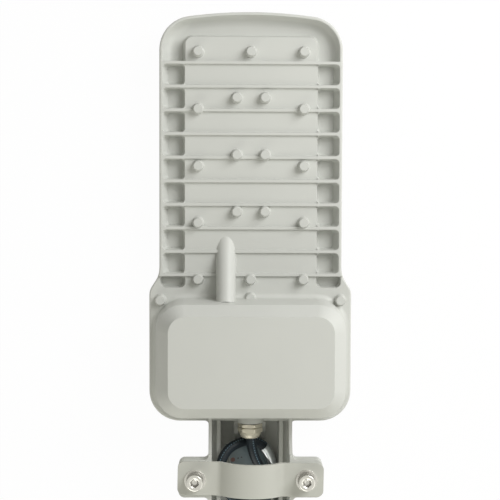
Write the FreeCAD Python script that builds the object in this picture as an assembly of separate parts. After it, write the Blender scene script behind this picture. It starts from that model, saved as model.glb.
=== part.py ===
# LED street-light head on a 60 mm side-entry spigot, seen lens side down.
# Frame: +Y runs from the spigot socket to the tip, +Z is up (the ribbed back),
# the origin is the centre of the socket's mouth on the spigot axis.
# Heights named *_Z are measured from the flat bottom rim of the casting.
import os
import math
import FreeCAD, Part

V = FreeCAD.Vector
X_AXIS, Y_AXIS, Z_AXIS = V(1, 0, 0), V(0, 1, 0), V(0, 0, 1)

# spigot and the whole head
SPIGOT_R = 30.0
AXIS_Z = 42.0
TIP_Y = 417.8
TIP_ARC_R = 360.0
HEAD_HALF_W = 73.8
HEAD_CORNER_R = 27.0
FLANGE_HALF_W = 82.1
FLANGE_BACK_Y = 86.7
FLANGE_CORNER_R = 25.0
FLARE_TOP_Y = 206.5
FLARE_FOOT_Y = 193.5
DECK_Z = 28.0
EDGE_R = 1.4
BEYOND = 500.0

# ribbed back
RIB_COUNT = 10
RIB_PITCH = 19.0
RIB_LAST_Y = 206.4
RIB_W = 2.2
RIB_DRAFT = 0.5
RIM_Z = 30.0
RIM_W = 2.4
PLATEAU_HALF_W = 52.9
PLATEAU_TOP_Y = 397.9
PLATEAU_CORNER_R = 5.5
PLATEAU_SLOPE = 2.1
POCKET_FLOOR_Z = 20.0
POCKET_CORNER_R = 3.2
POCKET_OUTER_SLOPE = 4.2
POCKET_SLOPE = 1.3
COVE_R = 6.0
END_POCKET_DEPTH_Y = 9.6
END_POCKET_R = 4.6

# blind screw posts
POST_TOP_R = 3.5
POST_BASE_R = 4.9
POST_H = 6.5
POST_FIRST_Y = 203.0
POST_PITCH = 45.8
POST_ROWS = 5
BOARD_POST_HALF_X = 11.4
BOARD_POST_OFFSET_Y = 9.0
COVER_POST_INSET = 9.1
COVER_POST_HALF_X = FLANGE_HALF_W - COVER_POST_INSET
COVER_POST_Y = 186.0

# driver box
BOX_BACK_Y = 95.5
BOX_FRONT_Y = 185.5
BOX_LEDGE = 7.5
BOX_HALF_W = FLANGE_HALF_W - BOX_LEDGE
BOX_CORNER_R = 21.0
BOX_SHOULDER_Z = 64.0
BOX_TOP_Z = 76.5
BOX_DRAFT = 2.0
BOX_BEVEL = 9.6
BOX_FRONT_BEVEL = 8.2
BOX_FOOT_R = 4.0
WALL = 3.0

# wire duct ridge
DUCT_X = -20.0
DUCT_NOSE_Y = 237.7
DUCT_NOSE_R = 8.9
DUCT_END_R = 7.3
DUCT_SLOPE = 27.0
DUCT_BORE_R = 3.6
DUCT_BORE_Z = 27.0

# underside: light-module recess and gear bay
SKIRT_W = 4.0
WEB_Z = 16.0
SEAT_Z = 20.0
RECESS_BACK_Y = 196.0
BAY_RIM_W = 5.6
BAY_HALF_W = FLANGE_HALF_W - BAY_RIM_W
BAY_BACK_Y = 91.5
BAY_FRONT_Y = 189.0
BAY_BACK_R = 20.0
BAY_FRONT_R = 4.0
BAY_CEILING_Z = 24.5
COVER_LIP = 2.8
COVER_Z = 3.6
COVER_T = 2.5
TONGUE_X = 46.0
TONGUE_W = 10.0
TONGUE_T = 1.8
COVER_CLEAR = 0.4
GASKET_T = 1.0

# light module
BOARD_T = 1.6
BOARD_HALF_W = 48.0
LENS_SCREW_INSET = 5.4
POST_HALF_X = BOARD_HALF_W - LENS_SCREW_INSET
BOARD_MARGIN = 6.6
MODULE_CLEAR = 1.2
CHIP_SIZE = 5.0
CHIP_H = 0.7
CHIP_COLUMNS = 3
CHIP_ROWS = 11
CHIP_PITCH_X = 22.9
LENS_T = 2.2
LENS_RIM_W = 3.4
LENS_GAP = 1.6
DOME_R = 6.8
DOME_H = 4.6
SEAL_W = 2.0

# arm, lugs and saddle
ARM_HALF_W = 33.6
ARM_WALL = 2.6
ARM_FLOOR = 3.0
ARM_TOP_Z = 46.0
RAIL_OUTER_X = 27.3
RAIL_INNER_X = 24.0
RAIL_TOP_Z = 23.5
GROOVE_Z = 19.0
SADDLE_L = 10.0
ARM_FILLET = 3.6
GUSSET_X = 11.3
GUSSET_W = 3.6
GUSSET_TOP_Z = 20.0
GUSSET_L = 20.0
LUG_HALF_X = 57.2
LUG_BACK_Y = 31.6
LUG_FRONT_Y = 61.4
LUG_R = 5.0
LUG_PLATE = 14.0
LUG_WEB_T = 5.0
LUG_WEB_FOOT_Z = 8.0

# strap and its bolts
STRAP_T = 3.0
STRAP_W = 26.6
STRAP_L = 115.6
STRAP_Y = 46.9
STRAP_SKEW = -1.0
STRAP_R = 5.0
EAR_Z = 61.0
EAR_BEND_R = 6.0
BOLT_INSET = 13.7
BOLT_X = STRAP_L / 2 - BOLT_INSET
BOLT_Y = 46.2
BOLT_R = 4.0
BOLT_L = 30.0
BOLT_HEAD_R = 6.5
BOLT_HEAD_H = 8.0
HEX_KEY_AF = 6.0
BOLT_HOLE_R = 5.0
LUG_HOLE_R = 4.5
WASHER_R = 8.4
WASHER_T = 1.6
SPRING_R = 6.6
SPRING_T = 2.0
NUT_AF = 13.0
NUT_H = 6.5

# cable gland
GLAND_Z = 33.0
GLAND_BOSS_R = 10.2
GLAND_BOSS_Y = 86.7
GLAND_THREAD_R = 8.0
GLAND_AF = 18.0
GLAND_BODY_L = 3.6
GLAND_NUT_L = 4.2
GLAND_DOME_L = 4.4
GLAND_TURN = -10.0
GLAND_THREAD_L = 15.0
GLAND_INNER_Y = 97.0
LOCKNUT_T = 3.0

# gear inside the bay
TRAY_Z = 37.0
TRAY_T = 1.5
TRAY_GAP = 6.6
TRAY_HALF_W = BOX_HALF_W - TRAY_GAP
TRAY_BACK_Y = 108.0
TRAY_FRONT_Y = 180.0
TRAY_POST_EDGE = 6.0
TRAY_POST_X = TRAY_HALF_W - TRAY_POST_EDGE
TRAY_POST_R = 4.5
TRAY_POST_INSET = 8.0
DRIVER_SIZE = V(100.0, 58.0, 30.0)
DRIVER_TAB = 8.0
SURGE_SIZE = V(44.0, 28.0, 24.0)
SURGE_AT = V(-34.0, 150.0, 0)
TERMINAL_SIZE = V(32.0, 18.0, 17.0)
TERMINAL_AT = V(18.0, 124.0, 0)
LEAD_R = 1.4

# screws
M3, M4, M5 = 1.5, 2.0, 2.5
PAN_HEAD = 2.0
TAP = 0.35

# supply lead, stowed in the arm: route chosen by hand, heights from the bottom rim
CABLE_R = 4.0
CABLE_ROUTE = (
    (0.0, 86.5, 33.0),
    (0.3, 72.0, 33.0),
    (2.6, 60.5, 31.6),
    (7.2, 50.0, 28.0),
    (12.8, 40.6, 22.8),
    (17.0, 31.4, 18.2),
    (16.0, 21.9, 15.4),
    (9.2, 15.5, 13.4),
    (-0.4, 13.9, 12.4),
    (-9.8, 16.8, 13.4),
    (-16.8, 23.4, 19.4),
    (-21.4, 32.8, 28.6),
    (-23.8, 43.0, 31.8),
    (-23.8, 53.6, 31.2),
    (-18.4, 63.2, 28.0),
    (-8.2, 68.4, 23.0),
    (3.4, 69.0, 17.8),
    (12.8, 62.8, 13.6),
    (17.6, 52.0, 10.6),
    (19.8, 41.2, 8.4),
    (19.8, 29.6, 7.4),
)
CORE_R = 1.1
CORE_L = 11.0
FERRULE_R = 0.8
FERRULE_L = 6.0
LABEL_T = 0.4
LABEL_RUN = CABLE_ROUTE[16:20]
LABEL_TOP_Y = 63.0
FLAG_REACH = V(-34.0, 2.0, 8.0)
FLAG_LOW_Y = 42.0


# plane outlines with a radius at each corner
def outline(points, z):
    """Closed wire at height z; each point is (x, y, corner radius)."""
    count = len(points)
    edges = []
    ends = []
    for i in range(count):
        p = V(points[i][0], points[i][1], z)
        a = V(points[i - 1][0], points[i - 1][1], z)
        b = V(points[(i + 1) % count][0], points[(i + 1) % count][1], z)
        ends.append(corner(a, p, b, points[i][2]))
    for i in range(count):
        start, middle, end = ends[i]
        if middle is not None:
            edges.append(Part.Arc(start, middle, end).toShape())
        following = ends[(i + 1) % count][0]
        if end.distanceToPoint(following) > 1e-6:
            edges.append(Part.makeLine(end, following))
    return Part.Wire(edges)


def corner(a, p, b, radius):
    """Start, middle and end of the arc that rounds the corner a-p-b."""
    if radius <= 0:
        return p, None, p
    u = (a - p).normalize()
    w = (b - p).normalize()
    half = u.getAngle(w) / 2
    reach = radius / math.tan(half)
    bisector = (u + w).normalize()
    middle = p + bisector * (radius / math.sin(half) - radius)
    return p + u * reach, middle, p + w * reach


def prism(points, low, high):
    return Part.Face(outline(points, low)).extrude(V(0, 0, high - low))


def rectangle(x0, x1, y0, y1, r):
    return ((x0, y0, r), (x1, y0, r), (x1, y1, r), (x0, y1, r))


def block(x0, x1, y0, y1, z0, z1):
    return Part.makeBox(x1 - x0, y1 - y0, z1 - z0, V(x0, y0, z0))


def taper(low_points, low, high_points, high):
    return Part.makeLoft([outline(low_points, low), outline(high_points, high)], True, True)


def rod(r, length, at, axis=Z_AXIS):
    return Part.makeCylinder(r, length, at, axis)


def hexagon(across_flats, length, at, axis=Z_AXIS, turn=0.0):
    """Hexagonal bar that starts at a point and runs along an axis."""
    r = across_flats / math.sqrt(3)
    points = []
    for i in range(7):
        angle = math.radians(60 * i + turn)
        points.append(V(r * math.cos(angle), r * math.sin(angle), 0))
    bar = Part.Face(Part.makePolygon(points)).extrude(V(0, 0, length))
    bar.Placement = FreeCAD.Placement(at, FreeCAD.Rotation(Z_AXIS, axis))
    return bar


def turned(profile, at, axis=Z_AXIS):
    """Solid of revolution from (radius, height) points about an axis through a point."""
    points = [V(r, 0, h) for r, h in profile]
    face = Part.Face(Part.makePolygon(points + points[:1]))
    solid = face.revolve(V(0, 0, 0), Z_AXIS, 360)
    solid.Placement = FreeCAD.Placement(at, FreeCAD.Rotation(Z_AXIS, axis))
    return solid


def joined(shapes):
    first = shapes[0]
    return first.fuse(shapes[1:]).removeSplitter()


def mirrored(shape):
    return shape.mirror(V(0, 0, 0), X_AXIS)


# positions shared by the casting and what is screwed to it
def lens_screw_points():
    rows = [POST_FIRST_Y + i * POST_PITCH for i in range(POST_ROWS)]
    points = [V(side * POST_HALF_X, y, 0) for y in rows for side in (-1, 1)]
    return points + [V(0, rows[0], 0), V(0, rows[-1], 0)]


def board_screw_points():
    rows = [POST_FIRST_Y + i * POST_PITCH + BOARD_POST_OFFSET_Y for i in range(1, POST_ROWS - 1)]
    return [V(side * BOARD_POST_HALF_X, y, 0) for y in rows for side in (-1, 1)]


def cover_screw_points():
    return [V(-COVER_POST_HALF_X, COVER_POST_Y, 0), V(0, COVER_POST_Y + 1.7, 0),
            V(COVER_POST_HALF_X, COVER_POST_Y, 0)]


def tray_screw_points():
    rows = (TRAY_BACK_Y + TRAY_POST_INSET, TRAY_FRONT_Y - TRAY_POST_INSET)
    return [V(side * TRAY_POST_X, y, 0) for y in rows for side in (-1, 1)]


def chip_points():
    middle_y = POST_FIRST_Y + (POST_ROWS - 1) * POST_PITCH / 2
    pitch_y = POST_PITCH / 3
    points = []
    for i in range(CHIP_COLUMNS):
        for j in range(CHIP_ROWS):
            x = (i - (CHIP_COLUMNS - 1) / 2) * CHIP_PITCH_X
            y = middle_y + (j - (CHIP_ROWS - 1) / 2) * pitch_y + BOARD_POST_OFFSET_Y - pitch_y / 2
            points.append(V(x, y, 0))
    return points


# outlines of the casting
def head_points(inset):
    """Head and flange outline, moved inwards by inset."""
    w = HEAD_HALF_W - inset
    rise = math.asin((HEAD_HALF_W - HEAD_CORNER_R) / TIP_ARC_R)
    apex = TIP_Y - inset + (TIP_ARC_R - inset) * (1 / math.cos(rise) - 1)
    shoulder = apex - w * math.tan(rise)
    r_tip, r_corner = TIP_ARC_R - inset, HEAD_CORNER_R - inset
    right = [(FLANGE_HALF_W - inset, FLANGE_BACK_Y + inset, FLANGE_CORNER_R - inset),
             (FLANGE_HALF_W - inset, FLARE_FOOT_Y, 12.0),
             (w, FLARE_TOP_Y, 20.0),
             (w, shoulder, r_corner)]
    left = [(-x, y, r) for x, y, r in reversed(right)]
    return right + [(0, apex, r_tip)] + left


def wall_points():
    return rectangle(-ARM_HALF_W, ARM_HALF_W, 0, FLANGE_BACK_Y + 8, 1.5)


def lug_points():
    """Both lugs with the stretch of wall between them, filleted into the walls."""
    reach = ARM_FILLET + 0.5
    right = [(ARM_HALF_W, LUG_FRONT_Y + reach, 0), (ARM_HALF_W, LUG_FRONT_Y, ARM_FILLET),
             (LUG_HALF_X, LUG_FRONT_Y, LUG_R), (LUG_HALF_X, LUG_BACK_Y, LUG_R),
             (ARM_HALF_W, LUG_BACK_Y, ARM_FILLET), (ARM_HALF_W, LUG_BACK_Y - reach, 0)]
    left = [(-x, y, r) for x, y, r in reversed(right)]
    return right + left


def root_points():
    """Foot of the arm at the flange, filleted into both."""
    reach = ARM_FILLET + 0.5
    right = [(ARM_HALF_W, FLANGE_BACK_Y - reach, 0), (ARM_HALF_W, FLANGE_BACK_Y, ARM_FILLET),
             (ARM_HALF_W + reach, FLANGE_BACK_Y, 0), (ARM_HALF_W + reach, FLANGE_BACK_Y + EDGE_R, 0)]
    left = [(-x, y, r) for x, y, r in reversed(right)]
    return right + left


def web_profile():
    """Triangular web that carries a lug from the arm's wall."""
    y = (LUG_BACK_Y + LUG_FRONT_Y - LUG_WEB_T) / 2
    x = ARM_HALF_W - 1
    under = EAR_Z - LUG_PLATE + 1
    points = [V(x, y, LUG_WEB_FOOT_Z), V(LUG_HALF_X - 3, y, under), V(x, y, under)]
    return points + points[:1]


def wall_rises():
    """Quarter-round rises from the wall top to the lugs, on both sides of each lug."""
    r = EAR_Z - ARM_TOP_Z
    fills = []
    for y, away in ((LUG_FRONT_Y + ARM_FILLET, 1), (LUG_BACK_Y - ARM_FILLET, -1)):
        y0, y1 = sorted((y, y + away * r))
        fill = block(ARM_HALF_W - ARM_WALL, ARM_HALF_W, y0, y1, ARM_TOP_Z - 1, EAR_Z)
        fill = fill.cut(rod(r, BEYOND, V(0, y + away * r, EAR_Z), X_AXIS))
        fills += [fill, mirrored(fill)]
    return fills


def rib_y(i):
    return RIB_LAST_Y + i * RIB_PITCH


# the casting, from the back
def deck():
    """Flange and head as two slabs that meet at the last rib, with rounded outer edges."""
    step_y = rib_y(0) - RIB_W / 2
    flange = prism(head_points(0), 0, DECK_Z).common(block(-BEYOND, BEYOND, 0, step_y, 0, DECK_Z))
    head = prism(head_points(0), 0, RIM_Z).common(block(-BEYOND, BEYOND, step_y, BEYOND, 0, RIM_Z))
    return round_rims(flange, step_y).fuse(round_rims(head, step_y))


def round_rims(slab, step_y):
    low, high = slab.BoundBox.ZMin, slab.BoundBox.ZMax
    rims = []
    for edge in slab.Edges:
        box = edge.BoundBox
        flat = box.ZLength < 1e-6 and (abs(box.ZMin - low) < 1e-6 or abs(box.ZMin - high) < 1e-6)
        on_step = box.YLength < 1e-6 and abs(box.YMin - step_y) < 1e-6
        if flat and not on_step:
            rims.append(edge)
    return slab.makeFillet(EDGE_R, rims)


def box_points(outset, bevel=0.0):
    """Driver box outline, moved outwards by outset or drawn in by the bevel at the top."""
    grow = outset - bevel
    front = outset - bevel * BOX_FRONT_BEVEL / BOX_BEVEL
    return rectangle(-BOX_HALF_W - grow, BOX_HALF_W + grow,
                     BOX_BACK_Y - grow, BOX_FRONT_Y + front, BOX_CORNER_R + outset - bevel * 0.8)


def box_solid(inset, low, top):
    """Drafted box with its bevelled top; inset gives the inside of the wall."""
    wall = taper(box_points(BOX_DRAFT - inset), low, box_points(-inset), BOX_SHOULDER_Z)
    cap = taper(box_points(-inset), BOX_SHOULDER_Z, box_points(-inset, BOX_BEVEL), top)
    return wall.fuse(cap)


def duct_axis(y):
    """Centre of the duct ridge at a given y."""
    crest = DECK_Z + (DUCT_NOSE_Y - y) * math.tan(math.radians(DUCT_SLOPE))
    return V(DUCT_X, y, crest - DUCT_NOSE_R / math.cos(math.radians(DUCT_SLOPE)))


def duct_ridge():
    low = duct_axis(DUCT_NOSE_Y - 2)
    high = duct_axis(BOX_FRONT_Y - 2)
    along = high - low
    crest = Part.makeCone(DUCT_NOSE_R, DUCT_END_R, along.Length, low, along)
    crest = crest.cut(block(-BEYOND, BEYOND, 0, BEYOND, -BEYOND, SEAT_Z + 1))
    wide_y = DUCT_NOSE_Y - DUCT_NOSE_R / math.sin(math.radians(DUCT_SLOPE))
    wires = []
    for y, r in ((wide_y, DUCT_NOSE_R - 0.5), (BOX_FRONT_Y - 2, DUCT_END_R)):
        top = duct_axis(y).z
        corners = [V(DUCT_X - r, y, SEAT_Z + 1), V(DUCT_X + r, y, SEAT_Z + 1),
                   V(DUCT_X + r, y, top), V(DUCT_X - r, y, top)]
        wires.append(Part.makePolygon(corners + corners[:1]))
    curtain = Part.makeLoft(wires, True, True)
    return crest.fuse(curtain)


def posts():
    points = lens_screw_points() + board_screw_points() + cover_screw_points()
    return [Part.makeCone(POST_BASE_R, POST_TOP_R, POST_H, V(p.x, p.y, DECK_Z)) for p in points]


def rib_bays():
    """Space between the drafted ribs above the plateau, and the drafted side pockets."""
    cuts = []
    inner = HEAD_HALF_W - RIM_W
    width = PLATEAU_HALF_W + 1
    for i in range(RIB_COUNT - 1):
        y0 = rib_y(i) + RIB_W / 2
        y1 = rib_y(i + 1) - RIB_W / 2
        cuts.append(taper(rectangle(-width, width, y0 + RIB_DRAFT, y1 - RIB_DRAFT, 0), DECK_Z,
                          rectangle(-width, width, y0, y1, 0), RIM_Z + 0.01))
        mouth = rectangle(PLATEAU_HALF_W, inner, y0, y1, POCKET_CORNER_R)
        floor = rectangle(PLATEAU_HALF_W + PLATEAU_SLOPE, inner - POCKET_OUTER_SLOPE,
                          y0 + POCKET_SLOPE, y1 - POCKET_SLOPE, POCKET_CORNER_R - 1)
        pocket = taper(floor, POCKET_FLOOR_Z, mouth, RIM_Z + 0.01)
        cuts += [pocket, mirrored(pocket)]
    return cuts


def tip_bay():
    """Hollow round the plateau beyond the last rib: the pockets' outer slope with a cove at its foot."""
    bay = taper(head_points(RIM_W + POCKET_OUTER_SLOPE), POCKET_FLOOR_Z, head_points(RIM_W), RIM_Z + 0.01)
    last_rib_y = rib_y(RIB_COUNT - 1)
    foot_edges = [e for e in bay.Edges
                  if abs(e.BoundBox.ZMax - POCKET_FLOOR_Z) < 1e-6 and e.BoundBox.YMax > last_rib_y]
    bay = bay.makeFillet(COVE_R, foot_edges)
    bay = bay.common(block(-BEYOND, BEYOND, last_rib_y + RIB_W / 2, TIP_Y, 0, BEYOND))
    start_y = rib_y(RIB_COUNT - 3)
    w, r = PLATEAU_HALF_W, PLATEAU_CORNER_R
    step = rectangle(-w, w, start_y, PLATEAU_TOP_Y, r)
    w, r = w + PLATEAU_SLOPE, r + PLATEAU_SLOPE
    foot = rectangle(-w, w, start_y, PLATEAU_TOP_Y + PLATEAU_SLOPE, r)
    return bay.cut(taper(foot, POCKET_FLOOR_Z, step, DECK_Z))


def end_pockets():
    y1 = rib_y(0) - RIB_W / 2
    y0 = y1 - END_POCKET_DEPTH_Y
    outer = HEAD_HALF_W - 0.4
    mouth = ((PLATEAU_HALF_W, y0, END_POCKET_R), (outer, y0, END_POCKET_R),
             (outer, y1, 2.5), (PLATEAU_HALF_W, y1, 2.5))
    s = POCKET_SLOPE
    foot = PLATEAU_HALF_W + PLATEAU_SLOPE
    floor = ((foot, y0 + s, END_POCKET_R - 1), (outer - s, y0 + s, END_POCKET_R - 1),
             (outer - s, y1 - s, 1.5), (foot, y1 - s, 1.5))
    pocket = taper(floor, POCKET_FLOOR_Z, mouth, DECK_Z + 0.01)
    return [pocket, mirrored(pocket)]


# the casting, from below
def module_y():
    """First and last y of the light board."""
    last = POST_FIRST_Y + (POST_ROWS - 1) * POST_PITCH
    return POST_FIRST_Y - BOARD_MARGIN + 1.5, last + BOARD_MARGIN


def light_recess():
    skirt = prism(head_points(SKIRT_W), -1, WEB_Z)
    skirt = skirt.common(block(-BEYOND, BEYOND, RECESS_BACK_Y, TIP_Y, -1, WEB_Z))
    y0, y1 = module_y()
    c = MODULE_CLEAR
    seat = prism(rectangle(-BOARD_HALF_W - c, BOARD_HALF_W + c, y0 - c + 0.5, y1 + c, 4), WEB_Z - 1, SEAT_Z)
    return skirt.fuse(seat)


def bay_points(inset):
    """Outline of the gear bay, moved inwards by inset."""
    w, back, front = BAY_HALF_W - inset, BAY_BACK_Y + inset, BAY_FRONT_Y - inset
    r_back, r_front = BAY_BACK_R - inset, BAY_FRONT_R - inset
    return ((-w, back, r_back), (w, back, r_back), (w, front, r_front), (-w, front, r_front))


def cover_seat_z():
    return COVER_Z + COVER_T + GASKET_T


def gear_bay():
    lower = prism(bay_points(0), -1, BAY_CEILING_Z)
    rebate = prism(bay_points(-COVER_LIP), -1, cover_seat_z())
    inside = box_solid(WALL, BAY_CEILING_Z - 1, BOX_TOP_Z - WALL)
    head_r = PAN_HEAD * M5 + COVER_CLEAR
    heads = [rod(head_r, COVER_Z + 1, V(p.x, p.y, -1)) for p in cover_screw_points()]
    return lower.fuse([rebate, inside] + heads + tongues(COVER_CLEAR))


def tongues(clear):
    """Hooks at the back of the cover, or their slots in the wall when clear is given."""
    z0 = cover_seat_z() + GASKET_T / 2 - clear
    z1 = z0 + TONGUE_T + 2 * clear
    half = TONGUE_W / 2 + clear
    y0 = BAY_BACK_Y - 2.2 - clear
    return [block(x - half, x + half, y0, BAY_BACK_Y + 3.5, z0, z1) for x in (-TONGUE_X, TONGUE_X)]


def bay_bosses():
    """Screw columns inside the gear bay for the cover and the gear tray."""
    columns = [rod(POST_BASE_R + 0.6, DECK_Z - cover_seat_z(), V(p.x, p.y, cover_seat_z()))
               for p in cover_screw_points()]
    height = BOX_TOP_Z - WALL - TRAY_Z - TRAY_T + 1
    columns += [rod(TRAY_POST_R, height, V(p.x, p.y, TRAY_Z + TRAY_T)) for p in tray_screw_points()]
    columns.append(rod(GLAND_AF * 0.68, GLAND_INNER_Y - BAY_BACK_Y + 1, V(0, BAY_BACK_Y - 1, GLAND_Z), Y_AXIS))
    return joined(columns).common(prism(head_points(1), 0, DECK_Z).fuse(box_solid(1, DECK_Z, BOX_TOP_Z - 1)))


def screw_holes():
    holes = [rod(M4 - TAP, DECK_Z + 3 - SEAT_Z + 1, V(p.x, p.y, SEAT_Z - 1)) for p in lens_screw_points()]
    holes += [rod(M3 - TAP, DECK_Z + 1 - SEAT_Z + 1, V(p.x, p.y, SEAT_Z - 1)) for p in board_screw_points()]
    holes += [rod(M5 - TAP, 22, V(p.x, p.y, cover_seat_z() - 1)) for p in cover_screw_points()]
    holes += [rod(M4 - TAP, 14, V(p.x, p.y, TRAY_Z)) for p in tray_screw_points()]
    return holes


def duct_bore():
    start_y = BAY_FRONT_Y - 12
    length = DUCT_NOSE_Y - 17 - start_y
    along = rod(DUCT_BORE_R, length, V(DUCT_X, start_y, DUCT_BORE_Z), Y_AXIS)
    down = rod(DUCT_BORE_R, DUCT_BORE_Z - SEAT_Z + 1, V(DUCT_X, start_y + length - DUCT_BORE_R, SEAT_Z - 1))
    return along.fuse(down)


# the arm with its saddle and lugs
def spigot_bore(y0, y1):
    return rod(SPIGOT_R, y1 - y0, V(0, y0, AXIS_Z), Y_AXIS)


def arm():
    wall_x = ARM_HALF_W - ARM_WALL
    inner_y = FLANGE_BACK_Y + 8
    body = prism(wall_points(), 0, ARM_TOP_Z).fuse(prism(root_points(), 0, DECK_Z - EDGE_R))
    body = body.fuse(prism(lug_points(), EAR_Z - LUG_PLATE, EAR_Z))
    web = Part.Face(Part.makePolygon(web_profile())).extrude(V(0, LUG_WEB_T, 0))
    body = body.fuse([web, mirrored(web)] + wall_rises())
    trough = block(-wall_x, wall_x, SADDLE_L, inner_y, ARM_FLOOR, EAR_Z + 1)
    rail = block(RAIL_INNER_X, RAIL_OUTER_X, SADDLE_L, inner_y, ARM_FLOOR, RAIL_TOP_Z)
    ledge = block(RAIL_INNER_X, wall_x, SADDLE_L, inner_y, ARM_FLOOR, GROOVE_Z)
    trough = trough.cut([rail, ledge, mirrored(rail), mirrored(ledge)])
    body = body.cut([trough, spigot_bore(-1, SADDLE_L + 1),
                     block(-SPIGOT_R, SPIGOT_R, -1, SADDLE_L + 1, AXIS_Z, EAR_Z + 1)])
    foot = EAR_Z - LUG_PLATE - 20
    nut = hexagon(NUT_AF + 0.4, NUT_H + 20.3, V(BOLT_X, BOLT_Y, foot))
    hole = rod(LUG_HOLE_R, LUG_PLATE + 21, V(BOLT_X, BOLT_Y, foot))
    cuts = [nut, hole]
    return body.cut(cuts + [mirrored(c) for c in cuts])


def gussets():
    profile = [V(GUSSET_X - GUSSET_W / 2, FLANGE_BACK_Y + 2, ARM_FLOOR - 1),
               V(GUSSET_X - GUSSET_W / 2, FLANGE_BACK_Y - GUSSET_L, ARM_FLOOR - 1),
               V(GUSSET_X - GUSSET_W / 2, FLANGE_BACK_Y - GUSSET_L, ARM_FLOOR),
               V(GUSSET_X - GUSSET_W / 2, FLANGE_BACK_Y - 3, GUSSET_TOP_Z),
               V(GUSSET_X - GUSSET_W / 2, FLANGE_BACK_Y + 2, GUSSET_TOP_Z)]
    web = Part.Face(Part.makePolygon(profile + profile[:1])).extrude(V(GUSSET_W, 0, 0))
    return [web, mirrored(web)]


def housing():
    body = deck().fuse(box_solid(0, DECK_Z, BOX_TOP_Z))
    foot = [e for e in body.Edges if is_box_foot(e)]
    body = body.makeFillet(BOX_FOOT_R, foot)
    body = body.cut(rib_bays() + [tip_bay()] + end_pockets())
    body = body.fuse(posts() + [duct_ridge()])
    boss = rod(GLAND_BOSS_R, BOX_BACK_Y + 6 - GLAND_BOSS_Y, V(0, GLAND_BOSS_Y, GLAND_Z), Y_AXIS)
    body = body.fuse([boss, arm()] + gussets())
    body = body.cut([light_recess(), gear_bay()])
    spot_face = rod(GLAND_AF * 0.68, 6, V(0, GLAND_INNER_Y, GLAND_Z), Y_AXIS)
    body = body.fuse(bay_bosses()).cut(spot_face)
    body = body.cut(screw_holes() + [duct_bore()])
    bore = rod(GLAND_THREAD_R, 30, V(0, GLAND_BOSS_Y - 1, GLAND_Z), Y_AXIS)
    return body.cut(bore).removeSplitter()


def is_box_foot(edge):
    """True for the edges where the driver box stands on the deck."""
    box = edge.BoundBox
    reach = BOX_HALF_W + BOX_DRAFT + 0.5
    inside = box.XMax < reach and box.XMin > -reach
    inside = inside and box.YMin > BOX_BACK_Y - BOX_DRAFT - 0.5 and box.YMax < BOX_FRONT_Y + BOX_DRAFT + 0.5
    return inside and abs(box.ZMin - DECK_Z) < 1e-4 and abs(box.ZMax - DECK_Z) < 1e-4


# light module
def board():
    y0, y1 = module_y()
    plate = prism(rectangle(-BOARD_HALF_W, BOARD_HALF_W, y0, y1, 3), SEAT_Z - BOARD_T, SEAT_Z)
    holes = [rod(M4 + 0.3, 4, V(p.x, p.y, SEAT_Z - 3)) for p in lens_screw_points()]
    holes += [rod(M3 + 0.2, 4, V(p.x, p.y, SEAT_Z - 3)) for p in board_screw_points()]
    holes.append(rod(DUCT_BORE_R, 4, duct_exit(SEAT_Z - 3)))
    return plate.cut(holes)


def duct_exit(z):
    return V(DUCT_X, DUCT_NOSE_Y - 17 - DUCT_BORE_R, z)


def chips():
    z = SEAT_Z - BOARD_T - CHIP_H
    half = CHIP_SIZE / 2
    return Part.makeCompound([block(p.x - half, p.x + half, p.y - half, p.y + half, z, z + CHIP_H)
                              for p in chip_points()])


def lens_top_z():
    return SEAT_Z - BOARD_T


def lens_panel():
    """Moulded optic: a hollow tray with a dome over each chip and a seat round each screw."""
    y0, y1 = module_y()
    top = lens_top_z()
    low = top - LENS_GAP - LENS_T
    body = prism(rectangle(-BOARD_HALF_W, BOARD_HALF_W, y0, y1, 3), low, top)
    hollow = prism(rectangle(-BOARD_HALF_W + LENS_RIM_W, BOARD_HALF_W - LENS_RIM_W,
                             y0 + LENS_RIM_W, y1 - LENS_RIM_W, 2), top - LENS_GAP, top + 1)
    seats = [rod(M4 + 2.2, LENS_GAP, V(p.x, p.y, top - LENS_GAP)) for p in lens_screw_points()]
    body = body.cut(hollow.cut(seats))
    ball_r = (DOME_R ** 2 + DOME_H ** 2) / (2 * DOME_H)
    below = block(-BEYOND, BEYOND, -BEYOND, BEYOND, -BEYOND, 0)
    dome = Part.makeSphere(ball_r, V(0, 0, ball_r - DOME_H)).common(below)
    domes = []
    for p in chip_points():
        copy = dome.copy()
        copy.translate(V(p.x, p.y, low))
        domes.append(copy)
    body = body.fuse(domes)
    holes = [rod(M4 + 0.3, 10, V(p.x, p.y, low - 1)) for p in lens_screw_points()]
    pits = [rod(M3 + 1.8, 10, V(p.x, p.y, top - LENS_GAP - 0.6)) for p in board_screw_points()]
    return body.cut(holes + pits).removeSplitter()


def lens_seal():
    """Silicone cord in the gap between the optic and the seat's edge."""
    y0, y1 = module_y()
    gap = MODULE_CLEAR - 0.1
    low = lens_top_z() - SEAL_W
    ring = prism(rectangle(-BOARD_HALF_W - gap, BOARD_HALF_W + gap, y0 - gap + 0.5, y1 + gap, 4),
                 low, lens_top_z())
    return ring.cut(prism(rectangle(-BOARD_HALF_W, BOARD_HALF_W, y0, y1, 3), low - 1, lens_top_z() + 1))


# screws
def pan_screw(r, length, at):
    """Pan-head screw driven upwards; at is the underside of what it clamps."""
    wide = PAN_HEAD * r
    head = turned(((0, 0), (wide, 0), (wide, -0.7 * r), (0.75 * wide, -1.25 * r), (0, -1.35 * r)), at)
    slot = joined([block(-1.1 * r, 1.1 * r, -0.2 * r, 0.2 * r, -2 * r, -0.7 * r),
                   block(-0.2 * r, 0.2 * r, -1.1 * r, 1.1 * r, -2 * r, -0.7 * r)])
    slot.translate(at)
    shank = rod(r - TAP, length, at)
    return head.fuse(shank).cut(slot)


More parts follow.
